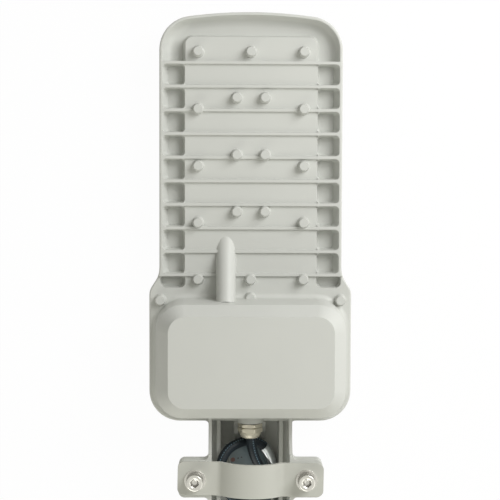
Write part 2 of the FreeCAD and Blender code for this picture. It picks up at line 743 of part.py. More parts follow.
def lens_screws():
    z = lens_top_z() - LENS_GAP - LENS_T
    return Part.makeCompound([pan_screw(M4, 14, V(p.x, p.y, z)) for p in lens_screw_points()])


def board_screws():
    z = SEAT_Z - BOARD_T
    return Part.makeCompound([pan_screw(M3 * 0.9, 8, V(p.x, p.y, z)) for p in board_screw_points()])


def cover_screws():
    return Part.makeCompound([pan_screw(M5, 18, V(p.x, p.y, COVER_Z)) for p in cover_screw_points()])


def tray_screws():
    return Part.makeCompound([pan_screw(M4, 10, V(p.x, p.y, TRAY_Z)) for p in tray_screw_points()])


# gear bay contents
def cover():
    top = COVER_Z + COVER_T
    plate = prism(bay_points(COVER_CLEAR - COVER_LIP), COVER_Z, top)
    ribs = [block(-52, 52, y - 1, y + 1, top - 1, top + 3) for y in (112, 140, 168)]
    hooks = tongues(0)
    risers = [block(x - TONGUE_W / 2, x + TONGUE_W / 2, BAY_BACK_Y + 1.2, BAY_BACK_Y + 3.5, top - 1,
                    cover_seat_z() + GASKET_T / 2 + TONGUE_T) for x in (-TONGUE_X, TONGUE_X)]
    holes = [rod(M5 + 0.3, 10, V(p.x, p.y, COVER_Z - 1)) for p in cover_screw_points()]
    return joined([plate] + ribs + hooks + risers).cut(holes)


def cover_gasket():
    top = COVER_Z + COVER_T
    edge = bay_points(2 * COVER_CLEAR - COVER_LIP)
    rim = prism(edge, top, cover_seat_z()).cut(prism(bay_points(0.8), 0, 20))
    pads = [rod(POST_BASE_R, GASKET_T, V(p.x, p.y, top)).common(prism(edge, 0, 20))
            for p in cover_screw_points()]
    holes = [rod(M5 + 0.3, 10, V(p.x, p.y, top - 1)) for p in cover_screw_points()]
    return rim.fuse(pads).cut(holes).removeSplitter()


def gear_tray():
    plate = prism(rectangle(-TRAY_HALF_W, TRAY_HALF_W, TRAY_BACK_Y, TRAY_FRONT_Y, 10), TRAY_Z, TRAY_Z + TRAY_T)
    holes = [rod(M4 + 0.3, 10, V(p.x, p.y, TRAY_Z - 1)) for p in tray_screw_points()]
    slot = prism(rectangle(DUCT_X - 8, DUCT_X + 8, TRAY_FRONT_Y - 9, TRAY_FRONT_Y + 1, 0), TRAY_Z - 1, TRAY_Z + 5)
    side = prism(rectangle(TRAY_HALF_W - 16, TRAY_HALF_W + 1, 134, 150, 0), TRAY_Z - 1, TRAY_Z + 5)
    return plate.cut(holes + [slot, side])


def driver():
    size = DRIVER_SIZE
    y0 = (TRAY_BACK_Y + TRAY_FRONT_Y - size.y) / 2
    z0 = TRAY_Z + TRAY_T
    case = block(-size.x / 2, size.x / 2, y0, y0 + size.y, z0, z0 + size.z)
    edges = [e for e in case.Edges if e.BoundBox.XLength > 50]
    case = case.makeFillet(3, edges)
    tab = block(-size.x / 2 - DRIVER_TAB, size.x / 2 + DRIVER_TAB, y0 + 20, y0 + size.y - 20, z0, z0 + 2)
    return case.fuse(tab).removeSplitter()


def surge_protector():
    s = SURGE_SIZE
    body = block(SURGE_AT.x - s.x / 2, SURGE_AT.x + s.x / 2, SURGE_AT.y - s.y / 2, SURGE_AT.y + s.y / 2,
                 TRAY_Z - s.z, TRAY_Z)
    return body.makeFillet(2, [e for e in body.Edges if e.BoundBox.ZLength > 5])


def terminal_block():
    s = TERMINAL_SIZE
    x0, y0 = TERMINAL_AT.x - s.x / 2, TERMINAL_AT.y - s.y / 2
    body = block(x0, x0 + s.x, y0, y0 + s.y, TRAY_Z - s.z, TRAY_Z)
    ways = []
    for i in range(3):
        x = x0 + s.x * (2 * i + 1) / 6
        ways.append(rod(2.4, 8, V(x, y0 - 1, TRAY_Z - s.z * 0.45), Y_AXIS))
        ways.append(rod(2.0, 5, V(x, y0 + s.y / 2, TRAY_Z - s.z - 1)))
    return body.cut(ways)


# tubes along straight runs and tangent arcs
def tube_path(points, share=0.45):
    """Wire of straight runs joined by arcs, and the arcs' radii."""
    edges = []
    radii = []
    start = points[0]
    for i in range(1, len(points) - 1):
        before = points[i - 1] - points[i]
        after = points[i + 1] - points[i]
        reach = share * min(before.Length, after.Length)
        half_turn = (math.pi - before.getAngle(after)) / 2
        radius = reach / math.tan(half_turn)
        enter, middle, leave = corner(points[i - 1], points[i], points[i + 1], radius)
        edges.append(Part.LineSegment(start, enter).toShape())
        edges.append(Part.Arc(enter, middle, leave).toShape())
        radii.append(radius)
        start = leave
    edges.append(Part.LineSegment(start, points[-1]).toShape())
    return Part.Wire(edges), radii


def tube(points, r, share=0.45):
    path, radii = tube_path(points, share)
    ring = Part.Wire(Part.Circle(points[0], points[1] - points[0], r).toShape())
    return path.makePipeShell([ring], True, False), path, radii


def cable_points():
    return [V(*p) for p in CABLE_ROUTE]


def supply_cable():
    solid, path, radii = tube(cable_points(), CABLE_R)
    expected = math.pi * CABLE_R ** 2 * path.Length
    print("supply cable length %.1f mm, volume ratio %.4f" % (path.Length, solid.Volume / expected))
    print("arc radii", [round(r, 1) for r in radii])
    return solid


def cable_end():
    """Three stripped cores with ferrules at the bare end of the lead."""
    points = cable_points()
    end = points[-1]
    along = (end - points[-2]).normalize()
    across = V(0, 0, 1).cross(along).normalize()
    up = along.cross(across)
    pieces = []
    for i in range(3):
        angle = math.radians(90 + 120 * i)
        off = across * (1.35 * math.cos(angle)) + up * (1.35 * math.sin(angle))
        core = rod(CORE_R, CORE_L, end + off, along)
        ferrule = rod(FERRULE_R, FERRULE_L, end + off + along * CORE_L, along)
        pieces.append(core.fuse(ferrule))
    return Part.makeCompound(pieces)


def cable_label():
    """Film tag wrapped round the lead, with its flag lying inside the loop."""
    first, second, third, last = [V(*p) for p in LABEL_RUN]
    stretch = [(first + second) * 0.5, second, third, (third + last) * 0.5]
    sleeve = tube(stretch, CABLE_R + LABEL_T, 0.9)[0].cut(tube(stretch, CABLE_R, 0.9)[0])
    sleeve = sleeve.common(block(-BEYOND, BEYOND, 0, LABEL_TOP_Y, 0, BEYOND))
    low, high = stretch[3], second + V(1.2, 0.4, 0)
    low = low + (low - high) * ((low.y - FLAG_LOW_Y) / (high.y - low.y))
    along = (high - low).normalize()
    normal = along.cross(FLAG_REACH).normalize()
    drop = V(0, 0, -1) * (CABLE_R + LABEL_T) / abs(normal.z)
    corners = [low + drop, high + drop, high + drop + FLAG_REACH, low + drop + FLAG_REACH]
    flag = Part.Face(Part.makePolygon(corners + corners[:1])).extrude(V(0, 0, LABEL_T))
    return sleeve.fuse(flag)


# cable gland
def gland_body():
    y = GLAND_BOSS_Y
    at = V(0, y, GLAND_Z)
    neck = rod(GLAND_THREAD_R, GLAND_THREAD_L, at, Y_AXIS)
    collar = hexagon(GLAND_AF, GLAND_BODY_L, V(0, y - GLAND_BODY_L, GLAND_Z), Y_AXIS, GLAND_TURN)
    inner = rod(6.8, GLAND_NUT_L, V(0, y - GLAND_BODY_L - GLAND_NUT_L, GLAND_Z), Y_AXIS)
    bore = rod(CABLE_R + 1.2, 60, V(0, y - 30, GLAND_Z), Y_AXIS)
    return joined([neck, collar, inner]).cut(bore)


def gland_nut():
    """Dome nut: a short hexagon with a rounded end round the lead."""
    y = GLAND_BOSS_Y - GLAND_BODY_L
    end = y - GLAND_NUT_L
    ring = hexagon(GLAND_AF, GLAND_NUT_L, V(0, end, GLAND_Z), Y_AXIS, GLAND_TURN)
    h = GLAND_DOME_L
    dome = turned(((0, 0), (8.5, 0), (8.1, 0.25 * h), (7.3, 0.55 * h), (6.5, 0.8 * h), (5.6, h), (0, h)),
                  V(0, end, GLAND_Z), V(0, -1, 0))
    hollow = rod(6.8, GLAND_NUT_L, V(0, end, GLAND_Z), Y_AXIS)
    bore = rod(CABLE_R + 0.5, 60, V(0, y - 30, GLAND_Z), Y_AXIS)
    return joined([ring, dome]).cut([hollow, bore])


def gland_seal():
    """Rubber sleeve squeezed between the gland and the lead."""
    y1 = GLAND_BOSS_Y
    y0 = GLAND_BOSS_Y - GLAND_BODY_L - GLAND_NUT_L
    sleeve = rod(CABLE_R + 1.2, y1 - y0, V(0, y0, GLAND_Z), Y_AXIS)
    return sleeve.cut(tube(cable_points()[:3], CABLE_R)[0])


def gland_locknut():
    nut = hexagon(GLAND_AF + 2, LOCKNUT_T, V(0, GLAND_INNER_Y, GLAND_Z), Y_AXIS)
    return nut.cut(rod(GLAND_THREAD_R, 20, V(0, GLAND_INNER_Y - 5, GLAND_Z), Y_AXIS))


# strap clamp
def clamp_strap():
    r0, r1 = SPIGOT_R, SPIGOT_R + STRAP_T
    top = EAR_Z + STRAP_T
    arch = rod(r1, STRAP_W, V(0, -STRAP_W / 2, AXIS_Z), Y_AXIS)
    ears = block(-STRAP_L / 2, STRAP_L / 2, -STRAP_W / 2, STRAP_W / 2, EAR_Z, top)
    body = arch.fuse(ears).cut(rod(r0, STRAP_W + 2, V(0, -STRAP_W / 2 - 1, AXIS_Z), Y_AXIS))
    body = body.common(block(-BEYOND, BEYOND, -BEYOND, BEYOND, EAR_Z, BEYOND)).removeSplitter()
    bends = [e for e in body.Edges if is_bend(e, r1, top)]
    body = body.makeFillet(EAR_BEND_R, bends)
    corners = [e for e in body.Edges
               if abs(abs(e.BoundBox.XMin) - STRAP_L / 2) < 1e-4 and e.BoundBox.ZLength > STRAP_T - 0.01
               and e.BoundBox.YLength < 0.01 and e.BoundBox.XLength < 0.01]
    body = body.makeFillet(STRAP_R, corners)
    body.rotate(V(0, 0, 0), Z_AXIS, STRAP_SKEW)
    body.translate(V(0, STRAP_Y, 0))
    return body.cut([rod(BOLT_HOLE_R, 40, V(s * BOLT_X, BOLT_Y, EAR_Z - 5)) for s in (-1, 1)])


def is_bend(edge, r1, top):
    box = edge.BoundBox
    x = math.sqrt(r1 ** 2 - (top - AXIS_Z) ** 2)
    return abs(abs(box.XMin) - x) < 1e-3 and box.YLength > STRAP_W - 0.01 and abs(box.ZMin - top) < 1e-3


def bolt_stack(x):
    """Heights of the flat washer, the spring washer and the head at one bolt."""
    z = EAR_Z + STRAP_T
    return V(x, BOLT_Y, z), V(x, BOLT_Y, z + WASHER_T), V(x, BOLT_Y, z + WASHER_T + SPRING_T)


def clamp_bolt(x):
    at = bolt_stack(x)[2]
    chamfer = 0.8
    head = turned(((0, 0), (BOLT_HEAD_R, 0), (BOLT_HEAD_R, BOLT_HEAD_H - chamfer),
                   (BOLT_HEAD_R - chamfer, BOLT_HEAD_H), (0, BOLT_HEAD_H)), at)
    shank = rod(BOLT_R, BOLT_L, at - V(0, 0, BOLT_L))
    key = hexagon(HEX_KEY_AF, BOLT_HEAD_H, at + V(0, 0, BOLT_HEAD_H / 2), Z_AXIS, 12)
    return head.fuse(shank).cut(key)


def ring(r, hole, t, at):
    return rod(r, t, at).cut(rod(hole, t, at))


def spring_washer(x):
    at = bolt_stack(x)[1]
    gap = block(at.x, at.x + 10, at.y - 0.5, at.y + 0.5, at.z - 1, at.z + 5)
    return ring(SPRING_R, BOLT_R + 0.2, SPRING_T, at).cut(gap)


def flat_washer(x):
    return ring(WASHER_R, BOLT_R + 0.3, WASHER_T, bolt_stack(x)[0])


def clamp_nut(x):
    at = V(x, BOLT_Y, EAR_Z - LUG_PLATE)
    return hexagon(NUT_AF, NUT_H, at).cut(rod(BOLT_R, NUT_H, at))


def leads(routes):
    """Thin leads, each along its own hand-chosen points."""
    return Part.makeCompound([tube([V(*p) for p in points], LEAD_R, 0.4)[0] for points in routes])


def input_leads():
    """Cores of the supply lead, from the gland to the terminal block."""
    y0 = GLAND_BOSS_Y
    z = GLAND_Z
    end_y = TERMINAL_AT.y - TERMINAL_SIZE.y / 2
    end_z = TRAY_Z - TERMINAL_SIZE.z * 0.45
    routes = []
    for i in range(3):
        x = TERMINAL_AT.x + TERMINAL_SIZE.x * (i - 1) / 3
        routes.append(((2.1 * (i - 1), y0, z), (2.1 * (i - 1) + 0.3, y0 + 16, z - 0.3),
                       (x - 1, end_y - 4, end_z), (x, end_y + 5, end_z)))
    return leads(routes)


def output_leads():
    """Pair from the driver through the duct to the light board."""
    z_top = TRAY_Z + TRAY_T + 8
    exit_at = duct_exit(0)
    front = (TRAY_BACK_Y + TRAY_FRONT_Y + DRIVER_SIZE.y) / 2
    routes = []
    for side in (-1, 1):
        x = DUCT_X + 1.7 * side
        routes.append(((x, front, z_top), (x, front + 5.5, z_top), (x, front + 5, DUCT_BORE_Z + 4),
                       (x, BAY_FRONT_Y - 3, DUCT_BORE_Z), (x, exit_at.y + 0.3, DUCT_BORE_Z + 0.3),
                       (x, exit_at.y, SEAT_Z - BOARD_T)))
    return leads(routes)


PARTS = {
    "housing": housing,
    "led_board": board,
    "led_chips": chips,
    "lens_panel": lens_panel,
    "lens_seal": lens_seal,
    "lens_screws": lens_screws,
    "board_screws": board_screws,
    "gear_cover": cover,
    "cover_gasket": cover_gasket,
    "cover_screws": cover_screws,
    "gear_tray": gear_tray,
    "tray_screws": tray_screws,
    "led_driver": driver,
    "surge_protector": surge_protector,
    "terminal_block": terminal_block,
    "input_leads": input_leads,
    "output_leads": output_leads,
    "gland_body": gland_body,
    "gland_seal": gland_seal,
    "gland_nut": gland_nut,
    "gland_locknut": gland_locknut,
    "supply_cable": supply_cable,
    "cable_end": cable_end,
    "cable_label": cable_label,
    "clamp_strap": clamp_strap,
    "clamp_bolt_left": lambda: clamp_bolt(-BOLT_X),
    "clamp_bolt_right": lambda: clamp_bolt(BOLT_X),
    "spring_washer_left": lambda: spring_washer(-BOLT_X),
    "spring_washer_right": lambda: spring_washer(BOLT_X),
    "flat_washer_left": lambda: flat_washer(-BOLT_X),
    "flat_washer_right": lambda: flat_washer(BOLT_X),
    "clamp_nut_left": lambda: clamp_nut(-BOLT_X),
    "clamp_nut_right": lambda: clamp_nut(BOLT_X),
}

os.makedirs("parts", exist_ok=True)
for name, make in PARTS.items():
    shape = make()
    shape.translate(V(0, 0, -AXIS_Z))
    print(name, "solids", len(shape.Solids), "valid", shape.isValid(), "cm3 %.2f" % (shape.Volume / 1000))
    shape.exportStep("parts/" + name + ".step")
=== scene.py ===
# LED street light head on a 60 mm spigot, lens side down: its finishes, fine pieces and studio.
# Metres, in the casting's own frame: +Y from the socket to the tip, +Z out of the ribbed back.
import math

import bpy
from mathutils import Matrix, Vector


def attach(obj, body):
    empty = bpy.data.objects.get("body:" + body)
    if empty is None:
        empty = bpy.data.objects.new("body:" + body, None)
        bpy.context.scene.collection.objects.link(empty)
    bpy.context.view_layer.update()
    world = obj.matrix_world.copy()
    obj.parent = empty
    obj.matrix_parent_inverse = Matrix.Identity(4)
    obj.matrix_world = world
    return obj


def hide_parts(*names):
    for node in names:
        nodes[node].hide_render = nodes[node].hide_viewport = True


MM = 0.001
AXIS_Z = 42.0


def at(x, y, z):
    """Point of the casting's drawing in mm, with z from its flat bottom rim."""
    return Vector((x, y, z - AXIS_Z)) * MM


# the lead's route and jacket, in mm as in the casting's drawing
LEAD_R = 4.0
LEAD_SIDES = 28
LEAD_ROUTE = (
    (0.0, 86.5, 33.0),
    (0.3, 72.0, 33.0),
    (2.6, 60.5, 31.6),
    (7.2, 50.0, 28.0),
    (12.8, 40.6, 22.8),
    (17.0, 31.4, 18.2),
    (16.0, 21.9, 15.4),
    (9.2, 15.5, 13.4),
    (-0.4, 13.9, 12.4),
    (-9.8, 16.8, 13.4),
    (-16.8, 23.4, 19.4),
    (-21.4, 32.8, 28.6),
    (-23.8, 43.0, 31.8),
    (-23.8, 53.6, 31.2),
    (-18.4, 63.2, 28.0),
    (-8.2, 68.4, 23.0),
    (3.4, 69.0, 17.8),
    (12.8, 62.8, 13.6),
    (17.6, 52.0, 10.6),
    (19.8, 41.2, 8.4),
    (19.8, 29.6, 7.4),
)
JACKET_RIPPLE = 0.1
JACKET_PITCH = 2.0
# a row of pale blue dots along the lead, on its side towards the key lamp: painted highlights
GLINT_PITCH = 2.0
GLINT_L = 1.0
GLINT_START = 9.0
GLINT_TOWARD = Vector((0.62, 0.0, 0.78))
CORE_R = 1.1
CORE_OFFSET = 1.35
CORE_L = 11.0
CORE_SIDES = 20
FERRULE_L = 6.0

# the film label on the lead, in mm
LABEL_RUN = LEAD_ROUTE[17:20]
LABEL_TOP_Y = 63.0
LABEL_T = 0.4
LABEL_FIT = 0.02
LABEL_SIDES = 40
FLAG_T = 0.24
FLAG_REACH = Vector((-34.0, 2.0, 8.0)) * MM
FLAG_TOP_SHIFT = Vector((1.2, 0.4, 0.0)) * MM
FLAG_LOW_Y = 42.0
FLAG_BOW = 0.5
FLAG_CELLS = (24, 10)
FLAG_DOT = (-13.9, 51.5, 13.3)
FLAG_DOT_R = 1.9
SMALL_DOT_R = 0.8
SMALL_DOT_STEPS = (4.4, 7.2)
FILM_LAP = 43.4
FILM_LAP_TOWARD = (0.805, 0.593, 0.0)

# the gland, in mm; the turn is how far its top flat leans from level, in degrees
GLAND_Z = 33.0
GLAND_BOSS_Y = 86.7
GLAND_AF = 18.0
GLAND_TURN = 10.0
GLAND_SIDES = 144
GLAND_THREAD_R = 8.0
GLAND_THREAD_L = 15.0
GLAND_THREAD_PITCH = 1.5
GLAND_BORE_R = LEAD_R + 1.2
GLAND_NECK_R = 6.8
GLAND_GROOVE_R = 7.4
GLAND_BODY_L = 3.6
GLAND_RING_T = 0.6
GLAND_RING_SIDES = 96
GLAND_NUT_L = 4.2
GLAND_MOUTH_R = LEAD_R + 0.55
GLAND_DOME_L = 4.8
GLAND_DOME = ((0.25, 8.65), (0.5, 8.15), (0.7, 7.6), (0.86, 6.9), (0.96, 6.2), (1.0, 5.7))

# bolts and washers, in mm; turns and gaps in degrees
BOLT_X = 44.1
BOLT_Y = 46.2
BOLT_R = 4.0
BOLT_L = 30.0
BOLT_PITCH = 1.25
BOLT_HEAD_R = 6.5
BOLT_HEAD_H = 8.0
BOLT_HEAD_EDGE = ((1.4, 0.05), (0.7, 0.1), (0.3, 0.25), (0.08, 0.5), (0.0, 0.8))
BOLT_SIDES = 192
BOLT_TURN = 12.0
KNURL_TEETH = 48
KNURL_DEPTH = 0.22
HEX_KEY_AF = 6.0
STRAP_TOP_Z = 64.0
FLAT_WASHER_T = 1.6
SPRING_WASHER_T = 2.0
SPRING_WASHER_R = 6.6
SPRING_WASHER_BORE_R = BOLT_R + 0.25
SPRING_WASHER_INSET = 0.25
SPRING_WASHER_GAP = 12.0
SPRING_WASHER_RISE = 0.35
SPRING_WASHER_STEPS = 72

# light sources, in mm; their rows lie between the casting's posts
POST_FIRST_Y = 203.0
POST_PITCH = 45.8
BOARD_POST_OFFSET_Y = 9.0
CHIP_SIZE = 5.0
CHIP_H = 0.7
CHIP_Z = 18.4
CHIP_COLUMNS = 3
CHIP_ROWS = 11
CHIP_PITCH_X = 22.9
CHIP_PITCH_Y = POST_PITCH / 3
CHIP_MIDDLE_Y = POST_FIRST_Y + 2 * POST_PITCH + BOARD_POST_OFFSET_Y - CHIP_PITCH_Y / 2
CHIP_SIDES = 32

# a turned profile ends at this radius, in mm, where it closes on its axis
POLE_R = 0.02

# colours
GREY_COAT = (0.585, 0.594, 0.565)
# the strap has the housing's grey paint, drawn darker: painted shade
STRAP_GREY_SHADED = (0.518, 0.522, 0.478)
TURNED_STEEL = (0.80, 0.79, 0.76)
# darker steel for the screws' knurl and socket and for the spring washers: painted shade
SHADE_STEEL = (0.30, 0.29, 0.27)
SCREW_STEEL = (0.72, 0.71, 0.69)
NICKEL = (0.70, 0.66, 0.55)
TIN = (0.72, 0.72, 0.70)
BLACK_RUBBER = (0.02, 0.02, 0.022)
NAVY_RUBBER = (0.011, 0.018, 0.025)
# colour of the painted highlights on the lead
GLINT_BLUE = (0.15, 0.23, 0.29)
BROWN_CORE = (0.20, 0.09, 0.04)
BLUE_CORE = (0.04, 0.11, 0.36)
GREEN_CORE = (0.04, 0.22, 0.05)
GREEN_BAND = (0.03, 0.20, 0.05, 1.0)
YELLOW_BAND = (0.75, 0.58, 0.04, 1.0)
SILVER = (0.92, 0.96, 1.0)
DARK_FILM = (0.07, 0.085, 0.095, 1.0)
FLAG_BLUE = (0.10, 0.135, 0.15)
RED_INK = (0.10, 0.022, 0.014, 1.0)
DARK_INK = (0.02, 0.025, 0.03, 1.0)
CLEAR = (0.96, 0.975, 0.98)
MASK_WHITE = (0.84, 0.85, 0.83)
SOURCE_WHITE = (0.82, 0.82, 0.80)
PHOSPHOR = (0.86, 0.60, 0.10)
FLOOR_WHITE = (0.86, 0.86, 0.86)
WHITE = (1.0, 1.0, 1.0)
WARM_WHITE = (1.0, 0.99, 0.91)

# hidden pieces with a plain finish: nodes, name, colour and roughness
MOULDINGS = (
    (["lens_seal", "cover_gasket"], "silicone", (0.66, 0.66, 0.64), 0.55),
    (["surge_protector"], "dark_plastic", (0.05, 0.05, 0.055), 0.5),
    (["terminal_block"], "white_plastic", (0.78, 0.78, 0.75), 0.45),
    (["input_leads"], "brown_leads", BROWN_CORE, 0.42),
    (["output_leads"], "blue_leads", (0.05, 0.12, 0.38), 0.42),
)
SHEETS = (
    (["gear_tray"], "zinc_sheet", (0.66, 0.67, 0.68), 0.35),
    (["led_driver"], "driver_case", (0.58, 0.59, 0.60), 0.42),
)

# camera: place in mm as in the casting's drawing, turn in degrees, lens and sensor in mm
CAMERA_PLACE = (-20.08, 287.1, 1076.75)
CAMERA_TURN = (-3.3051, -1.0594, 0.199)
CAMERA_LENS = 93.28
CAMERA_SENSOR = 36.0
CAMERA_FAR = 20.0

# lamps: name, size in metres, watts, colour, azimuth, elevation and distance in metres
LAMPS = (
    ("key", 0.65, 9.2, WHITE, 37.0, 38.0, 1.0),
    ("back_fill", 0.8, 3.9, WARM_WHITE, -106.0, 24.0, 1.1),
    ("right_fill", 0.8, 1.5, WARM_WHITE, -40.0, 35.0, 1.1),
)
LAMPS_AIM = (0.0, 250.0, 30.0)
SKY_LEVEL = 0.34
SHINE_LEVEL = 0.72
FLOOR_HALF = 4.0
FLOOR_GLOW = 0.97


# finishes
class Socket:
    """A value inside a finish; arithmetic on it adds Math nodes."""

    def __init__(self, finish, socket):
        self.finish = finish
        self.socket = socket

    def math(self, operation, a, b):
        return self.finish.node("Math", {"operation": operation}, {0: a, 1: b})

    def __add__(self, other):
        return self.math("ADD", self, other)

    def __mul__(self, other):
        return self.math("MULTIPLY", self, other)

    def __gt__(self, other):
        return self.math("GREATER_THAN", self, other)

    def __lt__(self, other):
        return self.math("LESS_THAN", self, other)

    __radd__ = __add__
    __rmul__ = __mul__


class Finish:
    """One material, built from its principled shader."""

    def __init__(self, name, colour, roughness, **constants):
        self.material = bpy.data.materials.new(name)
        self.material.use_nodes = True
        self.tree = self.material.node_tree
        self.shader = self.tree.nodes["Principled BSDF"]
        self.feed("Base Color", (*colour, 1.0))
        self.feed("Roughness", roughness)
        for socket, value in constants.items():
            self.feed(socket.replace("_", " "), value)

    def node(self, kind, settings=None, inputs=None, output=0):
        """Adds a node: its settings first, then the values or links of its sockets."""
        node = self.tree.nodes.new("ShaderNode" + kind)
        for name, value in (settings or {}).items():
            setattr(node, name, value)
        for name, value in (inputs or {}).items():
            self.link(node.inputs[name], value)
        return Socket(self, node.outputs[output])

    def link(self, socket, value):
        if isinstance(value, Socket):
            self.tree.links.new(value.socket, socket)
        else:
            socket.default_value = value

    def feed(self, name, value):
        self.link(self.shader.inputs[name], value)

    def place(self):
        return self.node("TexCoord", output="Object")

    def noise(self, scale, detail):
        return self.node("TexNoise", {}, {"Vector": self.place(), "Scale": scale, "Detail": detail})

    def blend(self, factor, first, second):
        return self.node("Mix", {"data_type": "RGBA"}, {0: factor, 6: first, 7: second}, 2)

    def bevel(self, samples, radius):
        return self.node("Bevel", {"samples": samples}, {"Radius": radius})

    def relief(self, height, depth, normal=None):
        """Bump of a 0 to 1 height; depth is in metres."""
        inputs = {"Height": height, "Distance": depth, "Strength": 1.0}
        if normal is not None:
            inputs["Normal"] = normal
        self.feed("Normal", self.node("Bump", {}, inputs))


def shade(colour, factor):
    return (colour[0] * factor, colour[1] * factor, colour[2] * factor, 1.0)


def powder_coat(name, colour, edge_r):
    """Fine powder coat on a casting, drawn softly over its edges."""
    f = Finish(name, colour, 0.45, Specular_IOR_Level=0.42)
    grain = f.noise(2400.0, 2.0)
    peel = f.noise(520.0, 1.0)
    cloud = f.noise(30.0, 3.0)
    f.feed("Base Color", f.blend(cloud, shade(colour, 0.975), shade(colour, 1.025)))
    f.feed("Roughness", 0.40 + 0.12 * grain)
    f.relief(0.35 * grain + 0.65 * peel, 0.03 * MM, f.bevel(6, edge_r))
    return f.material


def bright_steel(name, colour, roughness, centre, metallic=1.0):
    """Turned stainless steel; the cutter's rings run round the centre."""
    f = Finish(name, colour, roughness, Metallic=metallic)
    place = f.node("Mapping", {"vector_type": "POINT"},
                   {"Vector": f.place(), "Location": (-centre.x, -centre.y, -centre.z)})
    rings = f.node("TexWave", {"wave_type": "RINGS", "rings_direction": "Z"},
                   {"Vector": place, "Scale": 900.0, "Distortion": 0.6}, "Fac")
    smudge = f.noise(260.0, 3.0)
    f.feed("Base Color", f.blend(smudge, shade(colour, 0.9), shade(colour, 1.06)))
    f.feed("Roughness", roughness + 0.16 * smudge)
    f.relief(0.5 * rings + 0.5 * smudge, 0.012 * MM, f.bevel(4, 0.25 * MM))
    return f.material


def plated(name, colour, roughness, metallic=1.0):
    """Plated or galvanised metal with a faint cloudy spangle."""
    f = Finish(name, colour, roughness, Metallic=metallic)
    spangle = f.node("TexVoronoi", {}, {"Vector": f.place(), "Scale": 180.0}, "Color")
    grey = f.node("SeparateColor", {}, {"Color": spangle}, "Red")
    cloud = f.noise(420.0, 3.0)
    f.feed("Base Color", f.blend(0.6 * grey + 0.4 * cloud, shade(colour, 0.86), shade(colour, 1.08)))
    f.feed("Roughness", roughness + 0.18 * cloud)
    f.relief(cloud, 0.02 * MM, f.bevel(4, 0.3 * MM))
    return f.material


def moulded(name, colour, roughness):
    """Moulded plastic or rubber with a fine eroded grain."""
    f = Finish(name, colour, roughness)
    grain = f.noise(1400.0, 2.0)
    cloud = f.noise(60.0, 2.0)
    f.feed("Base Color", f.blend(cloud, shade(colour, 0.9), shade(colour, 1.1)))
    f.feed("Roughness", roughness - 0.06 + 0.12 * grain)
    f.relief(grain, 0.02 * MM)
    return f.material


def lead_jacket():
    """Navy-black rubber, a little dusty."""
    f = Finish("lead_jacket", NAVY_RUBBER, 0.42, Specular_IOR_Level=0.4)
    dust = f.noise(900.0, 4.0)
    cloud = f.noise(90.0, 2.0)
    f.feed("Base Color", f.blend(cloud, shade(NAVY_RUBBER, 0.75), shade(NAVY_RUBBER, 1.5)))
    f.feed("Roughness", 0.36 + 0.2 * dust)
    f.relief(dust, 0.02 * MM)
    return f.material


def silver_film():
    """Metallised film, creased round the lead; on its left, past a straight line, it is drawn as dark
    film instead.
    """
    f = Finish("silver_film", SILVER, 0.2, Metallic=0.95)
    crease = f.noise(240.0, 4.0)
    fine = f.noise(1500.0, 2.0)
    across = f.node("VectorMath", {"operation": "DOT_PRODUCT"},
                    {0: f.place(), 1: FILM_LAP_TOWARD}, "Value")
    silver = across > FILM_LAP * MM
    shiny = f.blend(crease, shade(SILVER, 0.8), shade(SILVER, 1.0))
    f.feed("Base Color", f.blend(silver, DARK_FILM, shiny))
    f.feed("Metallic", 0.95 * silver)
    f.feed("Roughness", 0.2 + 0.2 * crease)
    f.relief(0.8 * crease + 0.2 * fine, 0.25 * MM)
    return f.material


def flag_film(dot_at):
    """Blue-grey printed film with one brown-red dot and a row of two small dark ones."""
    f = Finish("flag_film", FLAG_BLUE, 0.36)
    place = f.place()
    cloud = f.noise(120.0, 3.0)
    face = f.blend(cloud, shade(FLAG_BLUE, 0.8), shade(FLAG_BLUE, 1.35))
    marks = [(0.0, FLAG_DOT_R, RED_INK)]
    marks += [(step, SMALL_DOT_R, DARK_INK) for step in SMALL_DOT_STEPS]
    for step, radius, ink in marks:
        centre = dot_at + Vector((step, 0.25 * step, -0.18 * step)) * MM
        away = f.node("VectorMath", {"operation": "DISTANCE"}, {0: place, 1: centre}, "Value")
        face = f.blend(away < radius * MM, face, ink)
    f.feed("Base Color", face)
    f.feed("Roughness", 0.3 + 0.15 * cloud)
    f.relief(cloud, 0.05 * MM)
    return f.material


def clear_optic():
    """Clear moulded polycarbonate with a faint flow texture."""
    f = Finish("clear_optic", CLEAR, 0.06, Transmission_Weight=1.0, IOR=1.49)
    flow = f.noise(70.0, 2.0)
    f.feed("Roughness", 0.03 + 0.08 * flow)
    f.relief(flow, 0.05 * MM)
    return f.material


def solder_mask():
    """White solder mask with the copper runs standing faintly under it."""
    f = Finish("solder_mask", MASK_WHITE, 0.35)
    runs = f.node("TexBrick", {"offset": 0.5},
                  {"Vector": f.place(), "Scale": 1.0, "Color1": (1, 1, 1, 1),
                   "Color2": (0.9, 0.9, 0.9, 1), "Mortar": (0, 0, 0, 1),
                   "Mortar Size": 0.0006, "Mortar Smooth": 0.3,
                   "Brick Width": CHIP_PITCH_X * MM, "Row Height": CHIP_PITCH_Y * MM / 2}, "Color")
    grey = f.node("SeparateColor", {}, {"Color": runs}, "Red")
    weave = f.noise(800.0, 1.0)
    f.feed("Base Color", f.blend(grey, shade(MASK_WHITE, 0.86), shade(MASK_WHITE, 1.0)))
    f.feed("Roughness", 0.3 + 0.1 * weave)
    f.relief(0.8 * grey + 0.2 * weave, 0.04 * MM)
    return f.material


def phosphor():
    """Yellow phosphor set in clear resin."""
    f = Finish("phosphor", PHOSPHOR, 0.5)
    grain = f.noise(5000.0, 2.0)
    f.feed("Base Color", f.blend(grain, shade(PHOSPHOR, 0.85), shade(PHOSPHOR, 1.05)))
    f.feed("Roughness", 0.4 + 0.2 * grain)
    f.relief(grain, 0.02 * MM)
    return f.material


